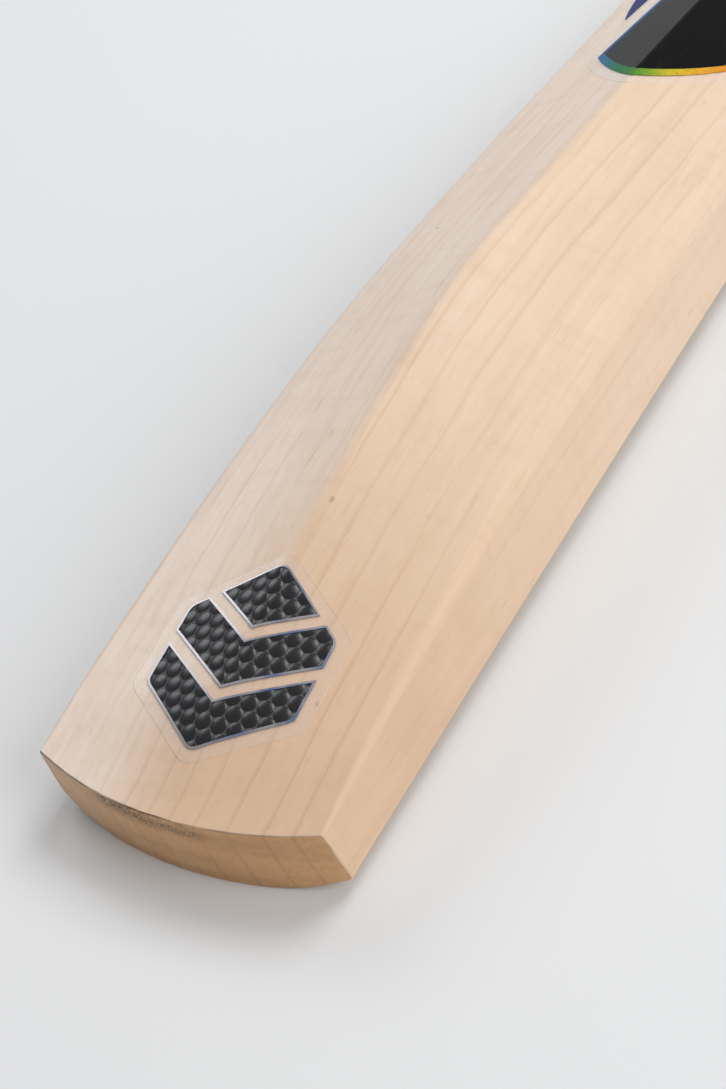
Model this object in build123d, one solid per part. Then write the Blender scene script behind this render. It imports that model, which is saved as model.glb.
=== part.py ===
from build123d import *
import math
import os

# Full-size cricket bat lying on its face: a willow blade with a spliced handle of cane strips and
# rubber springs, bound in twine under a rubber grip, with film labels on the back of the blade.
# Millimetres. +Z is up, the back of the bat. +Y runs from the toe to the handle. The origin is under
# the middle of the bat, on the surface it lies on. "Station" means the distance from the toe's tip.

# ---- driving dimensions: blade ----
blade_length = 560.0  # toe tip to the shoulder's end face
blade_width = 107.0
toe_sagitta = 11.5  # how far the round toe stands out past its corners
toe_undercut_angle = 7.0  # the toe's end leans under, towards the face
face_crown = 5.0  # how far the face's rolled sides rise
face_flat_share = 0.66  # share of the half width that is flat
face_roll_radius = 60.0
face_bow = 3.4  # lengthwise hollow of the face
side_lean = 2.6  # how far the sides lean in towards the back
face_corner_radius = 2.0
back_corner_radius_toe = 1.2
back_corner_radius_swell = 8.0
toe_edge_radius = 0.8

# ---- driving dimensions: thickness of the sides and height of the spine, above the face's rolled sides ----
swell_station = 217.0
edge_at_toe, edge_at_swell, edge_at_shoulder = 21.8, 39.9, 19.0
edge_rise_power, edge_fall_power = 2.0, 1.3
spine_at_toe, spine_at_swell, spine_at_shoulder = 23.7, 61.7, 34.0
spine_rise_power, spine_fall_power = 1.5, 1.2
spine_radius_toe = 120.0
spine_radius_swell = 3.0
spine_radius_power = 4.0  # how fast the spine turns from round at the toe to crisp at the swell

# ---- driving dimensions: shoulder and splice ----
shoulder_radius = 40.0
shoulder_end_width = 42.0
shoulder_side_overrun = 2.0  # how far the shoulder's circle passes outside the blade's side
shoulder_top_radius = 12.0  # rounds the back of the shoulder's end, seen from the side
shoulder_edge_radius = 0.8
splice_length = 140.0
splice_width = 37.0  # at the shoulder
splice_tip_width = 6.0

# ---- driving dimensions: handle ----
handle_length = 295.0  # shoulder to the cane's end
handle_radius = 15.6
root_flare = 1.7  # how much wider than the rest the handle is at the shoulder, from where it narrows
root_length = 12.0
root_overlap = 9.0  # how far the root reaches back into the splice
seam_turn = 17.0  # degrees, keeps the round seams off the cuts between the strips
cane_pitch_across = 10.4
cane_pitch_through = 7.8
spring_thickness = 1.6
spring_reach = 60.0  # how far the springs run down into the splice
cane_end_chamfer = 1.0

# ---- driving dimensions: binding and grip ----
twine_thickness = 0.8
twine_start_gap = 1.5
twine_end_gap = 3.0
grip_thickness = 2.0
grip_start_gap = 14.0  # from the shoulder
grip_collar_length = 6.0
grip_collar_rise = 0.8
grip_overhang = 1.0
grip_edge_radius = 0.5
grip_floor_gap = 1.3  # how far the grip's collar clears the surface the bat lies on

# ---- driving dimensions: labels ----
film_thickness = 0.25
panel_thickness = 0.3
badge_width, badge_length, badge_start = 62.0, 74.0, 17.0
badge_side_length = 32.72  # between the corners of each long side
badge_corner_radius = 6.0
badge_margin = 5.0
badge_rim = 0.7
badge_slope = 0.62  # lengthwise rise of its chevrons for each millimetre across
badge_gap = 6.0
badge_toe_panel_length, badge_chevron_length = 15.0, 15.0
label_end_gap = 45.0  # from the shoulder
label_length = 159.4
label_width, label_end_width = 59.0, 34.0
label_tip_slope = 1.045
label_tip_bow = 1.9  # how far each arm of its V bows towards the toe
label_film_margin = 5.0
label_hem_width = 3.6
label_side_trim_width = 1.7
flash_end_gap = 40.0  # from the shoulder
flash_length = 103.0
flash_gap = 6.0
flash_width = 17.0
flash_border = 2.5
flash_tip_border = 7.5  # at its long sharp tip

# ---- worked out from the above ----
overall_length = blade_length + handle_length + grip_overhang
toe_y = -overall_length / 2
half_width = blade_width / 2
toe_radius = (half_width**2 + toe_sagitta**2) / (2 * toe_sagitta)
handle_end = blade_length + handle_length
round_start = blade_length + root_length
twine_radius = handle_radius + twine_thickness
root_radius = handle_radius + root_flare
grip_radius = twine_radius + grip_thickness
handle_axis_height = grip_radius + grip_collar_rise + grip_floor_gap
label_end_station = blade_length - label_end_gap
label_tip_station = label_end_station - label_length
flash_end_station = blade_length - flash_end_gap
flash_tip_station = flash_end_station - flash_length
ROWS = ("face_outer", "face_inner", "back_inner", "back_outer")
COLUMNS = ("left", "centre", "right")
FAR = 400.0  # larger than any cross-section
toe_overrun, shoulder_overrun = 8.0, 5.0  # how far the blade's blank passes its two ends
cutter_reach = 40.0  # how far outlines and cutters pass the ends that they shape
toe_edge_zone = 6.0  # past the toe's round, where its edges end
toe_shares = (0, 0.12, 0.26, 0.42, 0.6, 0.8, 1)  # where sections stand between the toe and the swell
shoulder_shares = (0.14, 0.3, 0.48, 0.66, 0.83, 0.94, 1)  # and between the swell and the shoulder


def y_at(station):
    """The Y of a station."""
    return toe_y + station


def swell(station, toe, peak, shoulder, rise_power, fall_power):
    """A height that climbs from the toe to the swell and falls to the shoulder."""
    if station <= swell_station:
        share = 1 - (1 - max(station, 0) / swell_station) ** rise_power
        return toe + (peak - toe) * share
    share = 1 - ((station - swell_station) / (blade_length - swell_station)) ** fall_power
    return shoulder + (peak - shoulder) * share


def bow_height(station):
    """How far the hollow of the face lifts the blade off a flat surface."""
    share = min(max(station / blade_length, 0), 1)
    return face_bow * 4 * share * (1 - share)


def edge_height(station):
    """Height of the blade's back corners."""
    peaks = (edge_at_toe, edge_at_swell, edge_at_shoulder)
    return bow_height(station) + face_crown + swell(station, *peaks, edge_rise_power, edge_fall_power)


def spine_height(station):
    """Height of the blade's spine."""
    peaks = (spine_at_toe, spine_at_swell, spine_at_shoulder)
    return bow_height(station) + face_crown + swell(station, *peaks, spine_rise_power, spine_fall_power)


def blade_section(station, lift=0.0):
    """The blade's cross-section at a station, with its back raised by lift."""
    low = bow_height(station)
    toe_share = max(1 - max(station, 0) / swell_station, 0)
    back_corner = back_corner_radius_swell + (back_corner_radius_toe - back_corner_radius_swell) * toe_share
    roundness = toe_share**spine_radius_power
    spine_radius = spine_radius_swell + (spine_radius_toe - spine_radius_swell) * roundness
    flat = half_width * face_flat_share
    back_x = half_width - side_lean
    corners = [
        ((-half_width, low + face_crown), face_corner_radius),
        ((-flat, low), face_roll_radius),
        ((flat, low), face_roll_radius),
        ((half_width, low + face_crown), face_corner_radius),
        ((back_x, edge_height(station) + lift), back_corner),
        ((0, spine_height(station) + lift), spine_radius),
        ((-back_x, edge_height(station) + lift), back_corner),
    ]
    points = [(x, y_at(station), z) for (x, z), _ in corners]
    return FilletPolyline(*points, radius=[r for _, r in corners], close=True)


def blade_loft(lift=0.0):
    """The blade before its ends are shaped, with its back raised by lift."""
    beyond = blade_length - swell_station
    stations = [-toe_overrun] + [swell_station * share for share in toe_shares]
    stations += [swell_station + beyond * share for share in shoulder_shares]
    stations += [blade_length + shoulder_overrun]
    return loft([make_face(blade_section(s, lift)) for s in stations])


def plan_prism(outline):
    """An upright prism on a flat outline given in X and station."""
    return Pos(0, toe_y, -FAR / 2) * extrude(outline, FAR)


def polygon(*points, radius=0.0):
    """A flat closed outline with straight sides and, if asked, round corners."""
    if radius:
        return make_face(FilletPolyline(*points, radius=radius, close=True))
    return make_face(Polyline(*points, close=True))


def toe_cutter():
    """What the round toe leaves off."""
    block = Box(3 * half_width, toe_radius + 2 * cutter_reach, FAR)
    block = Pos(0, toe_radius / 2 - cutter_reach, 0) * block
    disc = Pos(0, toe_radius, 0) * Cylinder(toe_radius, FAR)
    pivot = Pos(0, toe_y, spine_at_toe + face_crown)
    return pivot * Rot(toe_undercut_angle, 0, 0) * (block - disc)


def shoulder_outline():
    """The blade's plan, with its two round shoulders."""
    circle_x = half_width + shoulder_side_overrun - shoulder_radius
    end_x = shoulder_end_width / 2
    circle_s = blade_length - math.sqrt(shoulder_radius**2 - (end_x - circle_x) ** 2)
    side_x = circle_x + shoulder_radius
    half_turn = (math.acos((end_x - circle_x) / shoulder_radius)) / 2
    mid_s = circle_s + shoulder_radius * math.sin(half_turn)
    mid = (circle_x + shoulder_radius * math.cos(half_turn), mid_s)
    right = ThreePointArc((side_x, circle_s), mid, (end_x, blade_length))
    left = ThreePointArc((-end_x, blade_length), (-mid[0], mid[1]), (-side_x, circle_s))
    top = Line((end_x, blade_length), (-end_x, blade_length))
    rest = Polyline(
        (-side_x, circle_s), (-side_x, -cutter_reach), (side_x, -cutter_reach), (side_x, circle_s)
    )
    return make_face([right, top, left, rest])


def shoulder_top_cutter():
    """What the rounding over the back of the shoulder's end leaves off."""
    r = shoulder_top_radius
    y, z = y_at(blade_length) - r, spine_height(blade_length) - r
    corner = Pos(0, y + r, z + r) * Box(FAR, 2 * r, 2 * r)
    return corner - Pos(0, y, z) * Rot(0, 90, 0) * Cylinder(r, 2 * FAR)


def runs_across(edge):
    """Whether an edge runs more across the bat than along it or up it."""
    return edge.bounding_box().size.X > edge.length / 2


def blade_blank():
    """The whole shaped blade, before the splice is cut."""
    blank = blade_loft() & plan_prism(shoulder_outline())
    blank = blank - toe_cutter()
    blank = blank - shoulder_top_cutter()
    last = y_at(blade_length) - shoulder_edge_radius
    end_edges = [e for e in blank.edges() if e.bounding_box().min.Y > last and runs_across(e)]
    blank = fillet(end_edges, shoulder_edge_radius)
    first = y_at(toe_sagitta + toe_edge_zone)
    toe_edges = [e for e in blank.edges() if e.bounding_box().max.Y < first and runs_across(e)]
    return fillet(toe_edges, toe_edge_radius)


def splice_prism():
    """The V of the splice, right through the blade."""
    tip = blade_length - splice_length
    half = splice_width / 2
    ends = [(splice_tip_width / 2, tip), (half, blade_length), (half, blade_length + cutter_reach)]
    return plan_prism(polygon(*ends, *[(-x, s) for x, s in reversed(ends)]))


def turned(profile):
    """A solid turned about the handle's axis, from corners given as radius and station."""
    corners = [(0, s) for _, s in (profile[0], profile[-1])]
    outline = make_face(Polyline(corners[0], *profile, corners[1], close=True))
    solid = revolve(outline, Axis.Y)
    return Pos(0, toe_y, handle_axis_height) * Rot(0, seam_turn, 0) * solid


def handle_profile(grow, start, end):
    """Radius and station along the handle between two stations, grown by grow."""
    root = root_radius + grow
    shaft = handle_radius + grow
    slope = (shaft - root) / root_length
    if start < blade_length:
        first = [(root, start), (root, blade_length)]
    else:
        first = [(root + slope * (start - blade_length), start)]
    return first + [(shaft, round_start), (shaft, end)]


def handle_lengths(blank):
    """The handle in its two lengths: the splice in the blade, and the turned handle."""
    end = handle_end - cane_end_chamfer
    profile = handle_profile(0, blade_length - root_overlap, end)
    profile.append((handle_radius - cane_end_chamfer, handle_end))
    return [blank & splice_prism(), turned(profile)]


def slab(x_low, x_high, z_low, z_high, s_low, s_high):
    """A block between two X, two Z and two stations."""
    block = Box(x_high - x_low, s_high - s_low, z_high - z_low)
    return Pos((x_low + x_high) / 2, y_at((s_low + s_high) / 2), (z_low + z_high) / 2) * block


def within(lengths, cell):
    """What lies in a cell of each of the handle's lengths, joined into one strip."""
    strip = None
    for length in lengths:
        piece = length & cell
        if piece is not None and piece.solids():
            strip = piece if strip is None else strip + piece
    return strip


def spring_layer(step, s_low):
    """The room one spring takes up, from a station to past the handle's end."""
    z = handle_axis_height + step * cane_pitch_through
    return slab(-FAR, FAR, z - spring_thickness / 2, z + spring_thickness / 2, s_low, handle_end + FAR)


def springs(lengths):
    """The three rubber springs between the four slabs of cane."""
    start = blade_length - spring_reach
    steps = (("face", -1), ("middle", 0), ("back", 1))
    return {f"rubber_spring_{name}": within(lengths, spring_layer(step, start)) for name, step in steps}


def canes(lengths):
    """The twelve strips of cane, four slabs of three."""
    made = {}
    x_cuts = [-FAR, -cane_pitch_across / 2, cane_pitch_across / 2, FAR]
    z_cuts = [-FAR] + [handle_axis_height + k * cane_pitch_through for k in (-1, 0, 1)] + [FAR]
    for i, row in enumerate(ROWS):
        for j, column in enumerate(COLUMNS):
            cell = slab(x_cuts[j], x_cuts[j + 1], z_cuts[i], z_cuts[i + 1], 0, handle_end + FAR)
            for step in (-1, 0, 1):
                cell = cell - spring_layer(step, blade_length - spring_reach)
            made[f"cane_{row}_{column}"] = within(lengths, cell)
    return made


def twine_binding():
    """The twine wound over the handle, as one sleeve."""
    start, end = blade_length + twine_start_gap, handle_end - twine_end_gap
    inside = handle_profile(0, start, end)
    outside = handle_profile(twine_thickness, start, end)
    return turned(outside) - turned(inside)


def round_bar(start, end, radius):
    """A round bar on the handle's axis between two stations."""
    return turned([(radius, start), (radius, end)])


def grip():
    """The rubber grip, a sleeve with a collar at its lower end."""
    start, end = blade_length + grip_start_gap, handle_end + grip_overhang
    collar_radius = grip_radius + grip_collar_rise
    collar = round_bar(start, start + grip_collar_length, collar_radius)
    sleeve = round_bar(start, end, grip_radius) + collar
    rims = sleeve.edges().filter_by(GeomType.CIRCLE).sort_by(Axis.Y)
    sleeve = fillet([rims[0], rims[-1]], grip_edge_radius)
    return sleeve - round_bar(start - 1, end + 1, twine_radius)


def badge_hexagon(inset):
    """The badge's six-sided outline, drawn in by inset."""
    half_w = badge_width / 2 - inset
    middle = badge_start + badge_length / 2
    half_l = badge_length / 2 - inset
    side = (badge_side_length - inset) / 2
    radius = max(badge_corner_radius - inset / 2, 1.0)
    points = [(0, middle - half_l), (half_w, middle - side), (half_w, middle + side)]
    points += [(0, middle + half_l), (-half_w, middle + side), (-half_w, middle - side)]
    return polygon(*points, radius=radius)


def chevron(low, high):
    """A band across the bat whose two arms rise from the middle, between two stations at the middle."""
    reach = badge_width
    rise = reach * badge_slope
    right = [(0, low), (reach, low + rise), (reach, high + rise)]
    left = [(0, high), (-reach, high + rise), (-reach, low + rise)]
    return polygon(*right, *left)


def badge_panel_outlines(grow):
    """The badge's three dark panels, each grown all round by grow."""
    hexagon = badge_hexagon(badge_margin - grow)
    along = grow * math.sqrt(1 + badge_slope**2)
    first = badge_start + badge_margin
    toe_end = first + badge_toe_panel_length
    band_start = toe_end + badge_gap
    band_end = band_start + badge_chevron_length
    crown_start = band_end + badge_gap
    return {
        "badge_toe_panel": hexagon & chevron(-FAR, toe_end + along),
        "badge_chevron_panel": hexagon & chevron(band_start - along, band_end + along),
        "badge_crown_panel": hexagon & chevron(crown_start - along, FAR),
    }


def label_outline():
    """The back label: a bowed V at its toe end, sides that draw in, and a square end."""
    half, half_end = label_width / 2, label_end_width / 2
    tip = label_tip_station
    corner = tip + half * label_tip_slope
    lean = label_tip_bow / math.sqrt(1 + label_tip_slope**2)
    bow_x, bow_s = half / 2 + lean * label_tip_slope, (tip + corner) / 2 - lean
    right = ThreePointArc((0, tip), (bow_x, bow_s), (half, corner))
    left = ThreePointArc((-half, corner), (-bow_x, bow_s), (0, tip))
    end = label_end_station
    rest = Polyline((half, corner), (half_end, end), (-half_end, end), (-half, corner))
    return make_face([right, rest, left])


def label_pieces():
    """Outlines of the label's panel, the hem along its toe end and the trims along its sides."""
    outer = label_outline()
    inner = offset(outer, -label_side_trim_width, kind=Kind.INTERSECTION)
    past_hem = Pos(0, label_hem_width * math.sqrt(1 + label_tip_slope**2)) * outer
    reach = label_end_station - label_tip_station
    past_end = Pos(0, label_end_station - label_side_trim_width + reach / 2) * Rectangle(reach, reach)
    return {
        "label_hem": outer - past_hem,
        "label_panel": outer & inner & past_hem,
        "label_side_trims": (outer & past_hem) - inner - past_end,
    }


def label_side_x(station):
    """Half the label's width at a station above its corners."""
    corner = label_tip_station + label_width / 2 * label_tip_slope
    share = (station - corner) / (label_end_station - corner)
    return label_width / 2 + (label_end_width - label_width) / 2 * share


def flash_outline(side, inset):
    """A blade-shaped flash beside the label. side is 1 or -1."""
    tip_inset = inset * flash_tip_border / flash_border
    tip, end = flash_tip_station + tip_inset, flash_end_station - inset
    inner_tip = label_side_x(flash_tip_station) + flash_gap + inset
    inner_end = label_side_x(flash_end_station) + flash_gap + inset
    width = flash_width - 2 * inset
    inner = Line((side * inner_tip, tip), (side * inner_end, end))
    across = Line((side * inner_end, end), (side * (inner_end + width), end - width))
    middle = (tip + end) / 2
    bulge = side * (label_side_x(middle) + flash_gap + inset + width)
    far_corner = (side * (inner_end + width), end - width)
    outer = ThreePointArc(far_corner, (bulge, middle - width / 2), (side * inner_tip, tip))
    return make_face([inner, across, outer])


def labels():
    """Every film and panel on the back of the blade, by node name."""
    wood = blade_loft()
    film_top = blade_loft(film_thickness)
    panel_top = blade_loft(film_thickness + panel_thickness)
    films = {
        "badge_film": badge_hexagon(0),
        "label_film": offset(label_outline(), label_film_margin),
    }
    panels = dict(badge_panel_outlines(0))
    grown = badge_panel_outlines(badge_rim)
    panels["badge_rims"] = [grown[name] - panels[name] for name in grown]
    panels.update(label_pieces())
    made = {}
    for name, outline in films.items():
        made[name] = (film_top & plan_prism(outline)) - wood
    for name, outline in panels.items():
        solids = []
        for part in outline if isinstance(outline, list) else [outline]:
            solids += ((panel_top & plan_prism(part)) - film_top).solids()
        made[name] = Compound(solids)
    for side, word in ((-1, "left"), (1, "right")):
        made[f"flash_film_{word}"] = (film_top & plan_prism(flash_outline(side, 0))) - wood
        made[f"flash_panel_{word}"] = (panel_top & plan_prism(flash_outline(side, flash_border))) - film_top
    return made


def build():
    """Every node of the bat, by name."""
    blank = blade_blank()
    lengths = handle_lengths(blank)
    nodes = {"blade": blank - splice_prism()}
    nodes.update(canes(lengths))
    nodes.update(springs(lengths))
    nodes["twine_binding"] = twine_binding()
    nodes["grip"] = grip()
    nodes.update(labels())
    return nodes


os.makedirs("parts", exist_ok=True)
for node, shape in build().items():
    export_step(Compound(shape.solids()), f"parts/{node}.step")
    print(node, len(shape.solids()))
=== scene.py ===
"""Looks of a cricket bat that lies on its face: finishes for CAD pieces, and pieces for finer detail."""

import logging
import math
from abc import ABC, abstractmethod
from collections.abc import Iterable, Mapping, Sequence
from dataclasses import dataclass, field
from enum import Enum

import bmesh
import bpy
from mathutils import Matrix, Vector


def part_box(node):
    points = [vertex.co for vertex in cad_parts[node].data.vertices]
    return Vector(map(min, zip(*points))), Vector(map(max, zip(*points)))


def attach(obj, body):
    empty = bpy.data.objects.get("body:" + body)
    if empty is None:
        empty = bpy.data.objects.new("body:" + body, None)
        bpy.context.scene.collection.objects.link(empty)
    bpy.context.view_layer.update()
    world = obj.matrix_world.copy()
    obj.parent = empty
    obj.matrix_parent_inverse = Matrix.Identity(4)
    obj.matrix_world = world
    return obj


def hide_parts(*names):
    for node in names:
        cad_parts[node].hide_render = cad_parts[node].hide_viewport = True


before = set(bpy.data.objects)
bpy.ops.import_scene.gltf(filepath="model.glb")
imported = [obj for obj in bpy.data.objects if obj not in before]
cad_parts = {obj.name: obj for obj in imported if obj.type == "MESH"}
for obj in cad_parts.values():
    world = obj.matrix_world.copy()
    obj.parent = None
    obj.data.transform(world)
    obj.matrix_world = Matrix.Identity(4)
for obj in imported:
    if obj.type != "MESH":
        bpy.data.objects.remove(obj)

log = logging.getLogger("cricket_bat")
MM = 0.001
ROOT = "root"

Colour = tuple[float, float, float]
Triple = tuple[float, float, float]
Span = tuple[float, float]


# ---- node trees ----


@dataclass(frozen=True)
class Field:
    """A number that varies over a surface: one output of a node tree."""

    tree: bpy.types.NodeTree
    socket: bpy.types.NodeSocket

    def _math(self, operation: str, *others: "Field | float") -> "Field":
        """Adds one Math node with this field first."""
        node = self.tree.nodes.new("ShaderNodeMath")
        node.operation = operation
        for slot, value in zip(node.inputs, (self, *others)):
            if isinstance(value, Field):
                self.tree.links.new(value.socket, slot)
            else:
                slot.default_value = value
        return Field(self.tree, node.outputs[0])

    def __add__(self, other: "Field | float") -> "Field":
        """This plus other."""
        return self._math("ADD", other)

    def __sub__(self, other: "Field | float") -> "Field":
        """This minus other."""
        return self._math("SUBTRACT", other)

    def __mul__(self, other: "Field | float") -> "Field":
        """This times other."""
        return self._math("MULTIPLY", other)

    def __truediv__(self, other: "Field | float") -> "Field":
        """This divided by other."""
        return self._math("DIVIDE", other)

    def inverse(self) -> "Field":
        """One minus this."""
        return (self * -1.0) + 1.0

    def part(self) -> "Field":
        """What is left above the whole number."""
        return self._math("FRACT")

    def nearest(self) -> "Field":
        """The nearest whole number."""
        return self._math("ROUND")

    def size(self) -> "Field":
        """This without its sign."""
        return self._math("ABSOLUTE")

    def least(self, other: "Field | float") -> "Field":
        """The smaller of the two."""
        return self._math("MINIMUM", other)

    def power(self, exponent: float) -> "Field":
        """This to a power."""
        return self._math("POWER", exponent)

    def step(self, low: float, high: float) -> "Field":
        """Zero up to low, one from high, and smooth between."""
        node = self.tree.nodes.new("ShaderNodeMapRange")
        node.interpolation_type = "SMOOTHSTEP"
        self.tree.links.new(self.socket, node.inputs["Value"])
        node.inputs["From Min"].default_value = low
        node.inputs["From Max"].default_value = high
        return Field(self.tree, node.outputs["Result"])

    def band(self, low: float, high: float, soft: float) -> "Field":
        """One between low and high, fading to zero over soft on each side."""
        return self.step(low - soft, low) * self.step(high, high + soft).inverse()


# anything that a node's input takes
Value = Field | bpy.types.NodeSocket | float | Sequence[float]


@dataclass(frozen=True)
class Pattern:
    """A noise pattern over a surface.

    waves is how many waves a metre holds along X, Y and Z. layers is how many finer layers are added. seed
    moves the pattern, so that two don't match. span is the stretch of the noise that fades from none to all,
    and share is how much of it shows, or how far it pushes something.
    """

    waves: Triple
    layers: int
    seed: float
    span: Span | None = None
    share: float = 1.0


class Tree:
    """A node tree with short ways to add nodes and wire them."""

    def __init__(self, tree: bpy.types.NodeTree) -> None:
        """Wraps a Blender node tree."""
        self.tree = tree

    def feed(self, socket: bpy.types.NodeSocket, value: Value) -> None:
        """Links a field or socket to an input, or sets the input's value."""
        if isinstance(value, Field):
            value = value.socket
        if isinstance(value, bpy.types.NodeSocket):
            self.tree.links.new(value, socket)
        else:
            socket.default_value = value

    def node(
        self, kind: str, inputs: Mapping[str | int, Value] | None = None, **settings: object
    ) -> bpy.types.Node:
        """Adds a node.

        Args:
            kind: Blender's name for the node.
            inputs: values or sources by the input's name or index.
            settings: the node's own properties.

        Returns:
            The new node.
        """
        node = self.tree.nodes.new(kind)
        for key, value in settings.items():
            setattr(node, key, value)
        for key, value in (inputs or {}).items():
            self.feed(node.inputs[key], value)
        return node

    def field(self, socket: bpy.types.NodeSocket) -> Field:
        """Wraps an output as a field."""
        return Field(self.tree, socket)


class ShaderTree(Tree):
    """The node tree of one material, around its Principled shader."""

    def __init__(self, name: str) -> None:
        """Makes the material."""
        self.material = bpy.data.materials.new(name)
        self.material.use_nodes = True
        super().__init__(self.material.node_tree)
        self.shader = self.tree.nodes["Principled BSDF"]
        self.coordinates = self.node("ShaderNodeTexCoord").outputs["Object"]
        self.height: Field | None = None

    def place(self) -> tuple[Field, Field, Field]:
        """Object X, Y and Z in metres."""
        split = self.node("ShaderNodeSeparateXYZ", {0: self.coordinates})
        return tuple(self.field(out) for out in split.outputs)

    def facing(self) -> tuple[Field, Field, Field]:
        """The surface normal's X, Y and Z."""
        normal = self.node("ShaderNodeNewGeometry").outputs["Normal"]
        split = self.node("ShaderNodeSeparateXYZ", {0: normal})
        return tuple(self.field(out) for out in split.outputs)

    def noise(self, pattern: Pattern) -> Field:
        """A pattern's noise, from zero to one."""
        moves = {"Vector": self.coordinates, "Scale": pattern.waves, "Location": (pattern.seed,) * 3}
        place = self.node("ShaderNodeMapping", moves)
        inputs = {"Vector": place.outputs[0], "Scale": 1.0, "Detail": pattern.layers}
        return self.field(self.node("ShaderNodeTexNoise", inputs).outputs["Fac"])

    def strewn(self, pattern: Pattern) -> Field:
        """Where a pattern shows, and how much: its noise faded over its span, times its share."""
        faded = self.noise(pattern).step(*pattern.span)
        return faded if pattern.share == 1.0 else faded * pattern.share

    def sway(self, pattern: Pattern) -> Field:
        """How far a pattern pushes a point to either side."""
        return (self.noise(pattern) - 0.5) * pattern.share

    def blend(self, share: Field | float, first: Value, second: Value) -> bpy.types.NodeSocket:
        """A colour between two, by share."""
        node = self.node("ShaderNodeMix", data_type="RGBA", blend_type="MIX")
        sockets = [s for s in node.inputs if s.type == "RGBA"]
        self.feed(node.inputs["Factor"], share)
        for socket, colour in zip(sockets, (first, second)):
            self.feed(socket, (*colour, 1.0) if isinstance(colour, tuple) else colour)
        return next(s for s in node.outputs if s.type == "RGBA")

    def ramp(self, share: Field, stops: Sequence[tuple[float, Colour]]) -> bpy.types.NodeSocket:
        """A colour picked from stops by share."""
        node = self.node("ShaderNodeValToRGB", {"Fac": share})
        ramp = node.color_ramp
        while len(ramp.elements) < len(stops):
            ramp.elements.new(1.0)
        for element, (position, colour) in zip(ramp.elements, stops):
            element.position = position
            element.color = (*colour, 1.0)
        return node.outputs["Color"]

    def relief(self, height: Field, depth: float) -> None:
        """Adds to the surface's fine relief. depth is in metres."""
        scaled = height * depth
        self.height = scaled if self.height is None else self.height + scaled

    def finish(self, inputs: Mapping[str, Value]) -> bpy.types.Material:
        """Sets the shader's inputs and the relief, and hands back the material."""
        for name, value in inputs.items():
            value = (*value, 1.0) if isinstance(value, tuple) and len(value) == 3 else value
            self.feed(self.shader.inputs[name], value)
        if self.height is not None:
            bump = self.node("ShaderNodeBump", {"Height": self.height, "Distance": 1.0, "Strength": 1.0})
            self.feed(self.shader.inputs["Normal"], bump.outputs["Normal"])
        return self.material


class ShapeTree(Tree):
    """A Geometry Nodes tree with named inputs, run on a mesh and baked."""

    def __init__(self, name: str, sizes: Mapping[str, float | int], material: bpy.types.Material) -> None:
        """Makes the tree and an input for each size."""
        self.group = bpy.data.node_groups.new(name, "GeometryNodeTree")
        super().__init__(self.group)
        self.sizes = dict(sizes)
        self.material = material
        face = self.group.interface
        face.new_socket("Geometry", in_out="INPUT", socket_type="NodeSocketGeometry")
        for label, value in self.sizes.items():
            kind = "NodeSocketInt" if isinstance(value, int) else "NodeSocketFloat"
            face.new_socket(label, in_out="INPUT", socket_type=kind)
        face.new_socket("Geometry", in_out="OUTPUT", socket_type="NodeSocketGeometry")
        self.entry = self.node("NodeGroupInput")
        self.exit = self.node("NodeGroupOutput")

    def size(self, label: str) -> Field:
        """A named input as a field."""
        return self.field(self.entry.outputs[label])

    def position(self) -> tuple[Field, Field, Field]:
        """Each point's X, Y and Z."""
        split = self.node("ShaderNodeSeparateXYZ", {0: self.node("GeometryNodeInputPosition").outputs[0]})
        return tuple(self.field(out) for out in split.outputs)

    def vector(self, x: Value, y: Value, z: Value) -> bpy.types.NodeSocket:
        """A vector from three numbers."""
        return self.node("ShaderNodeCombineXYZ", {0: x, 1: y, 2: z}).outputs[0]

    def close(self, geometry: bpy.types.NodeSocket) -> None:
        """Ends the tree: the result is made real and takes its material."""
        real = self.node("GeometryNodeRealizeInstances", {"Geometry": geometry})
        dressed = self.node("GeometryNodeSetMaterial", {"Geometry": real.outputs[0]})
        dressed.inputs["Material"].default_value = self.material
        self.feed(self.exit.inputs[0], dressed.outputs[0])

    def bake(self, name: str, start: bpy.types.Mesh) -> bpy.types.Object:
        """Runs the tree on a mesh.

        Args:
            name: the new object's name.
            start: the mesh that the tree starts from.

        Returns:
            An object with the plain result and no modifier.
        """
        piece = put(name, start)
        modifier = piece.modifiers.new(self.group.name, "NODES")
        modifier.node_group = self.group
        entries = [item for item in self.group.interface.items_tree if item.in_out == "INPUT"]
        identifiers = {item.name: item.identifier for item in entries}
        for label, value in self.sizes.items():
            modifier[identifiers[label]] = value
        evaluated = piece.evaluated_get(bpy.context.evaluated_depsgraph_get())
        result = bpy.data.meshes.new_from_object(evaluated)
        piece.modifiers.remove(modifier)
        piece.data = result
        return piece


def put(name: str, data: bpy.types.ID) -> bpy.types.Object:
    """Adds an object to the scene, at the origin."""
    made = bpy.data.objects.new(name, data)
    bpy.context.scene.collection.objects.link(made)
    return made


CELL_EDGE = 0.25  # the squared distance, in cells, from a honeycomb cell's middle to its edge
CELL_ROW = 1.5  # how many cell lengths hold two rows of the honeycomb
CELL_SQUASH = 2.6  # how much faster the squared distance grows along the bat than across


def honeycomb(x: Field, y: Field, width: Field | float, length: Field | float) -> Field:
    """How far a point is from the middle of its cell in a honeycomb of ovals.

    Args:
        x: place across the bat.
        y: place along the bat.
        width: a cell's width.
        length: a cell's length.

    Returns:
        The squared distance, 0 at a cell's middle and CELL_EDGE half a cell's width away.
    """
    across = x / width
    along = y / (length * CELL_ROW)
    found = None
    for shift in (0.0, 0.5):
        dx, dy = across - shift, along - shift
        dx, dy = dx - dx.nearest(), dy - dy.nearest()
        apart = dx * dx + dy * dy * CELL_SQUASH
        found = apart if found is None else found.least(apart)
    return found


# ---- finishes ----


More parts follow.
